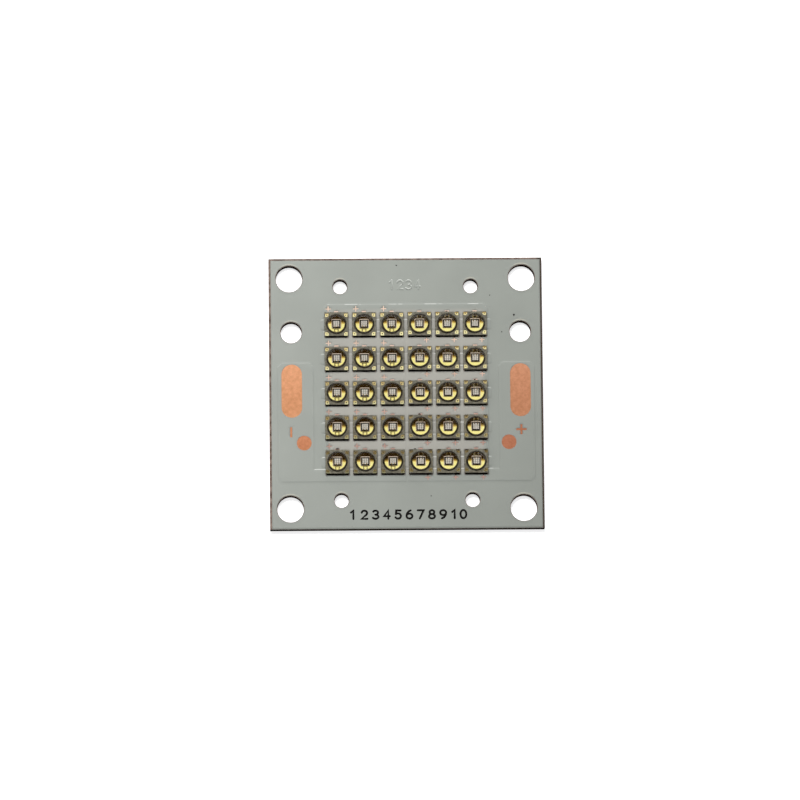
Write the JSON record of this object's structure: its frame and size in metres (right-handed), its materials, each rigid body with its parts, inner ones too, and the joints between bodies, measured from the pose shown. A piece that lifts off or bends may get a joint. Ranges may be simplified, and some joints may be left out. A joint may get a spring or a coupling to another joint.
{
  "type": "led array module",
  "caption": "Square copper-core board carrying rows of domed ultraviolet LEDs under clear lenses, with long solder pads and fixing holes.",
  "frame": {"origin": "centre of the board's back face", "axes": "+Z out of the lit side, +X from the minus terminal to the plus terminal, +Y towards the edge with no legend"},
  "size_m": [0.04, 0.04, 0.0038],
  "materials": {
    "core_copper": "bare rolled copper, dull, cut edges dark",
    "dielectric": "filled epoxy film",
    "circuit_copper": "bare copper, matt grained",
    "solder_mask": "pale grey-green lacquer, satin",
    "solder": "reflowed tin",
    "ceramic": "grey aluminium nitride, matt",
    "gold": "bright gold plating",
    "die": "silver-grey chip",
    "lens": "clear silicone"
  },
  "bodies": {
    "root": {"core_plate": "core_copper", "dielectric_layer": "dielectric", "solder_mask": "solder_mask", "circuit_minus": "circuit_copper", "circuit_left_4": "circuit_copper", "circuit_left_3": "circuit_copper", "circuit_left_2": "circuit_copper", "circuit_left_1": "circuit_copper", "circuit_top": "circuit_copper", "circuit_right_1": "circuit_copper", "circuit_right_2": "circuit_copper", "circuit_right_3": "circuit_copper", "circuit_right_4": "circuit_copper", "circuit_plus": "circuit_copper", "led_solder_row_1": "solder", "led_substrate_row_1": "ceramic", "led_plating_row_1": "gold", "led_die_row_1": "die", "led_lens_row_1": "lens", "led_solder_row_2": "solder", "led_substrate_row_2": "ceramic", "led_plating_row_2": "gold", "led_die_row_2": "die", "led_lens_row_2": "lens", "led_solder_row_3": "solder", "led_substrate_row_3": "ceramic", "led_plating_row_3": "gold", "led_die_row_3": "die", "led_lens_row_3": "lens", "led_solder_row_4": "solder", "led_substrate_row_4": "ceramic", "led_plating_row_4": "gold", "led_die_row_4": "die", "led_lens_row_4": "lens", "led_solder_row_5": "solder", "led_substrate_row_5": "ceramic", "led_plating_row_5": "gold", "led_die_row_5": "die", "led_lens_row_5": "lens"}
  },
  "joints": []
}
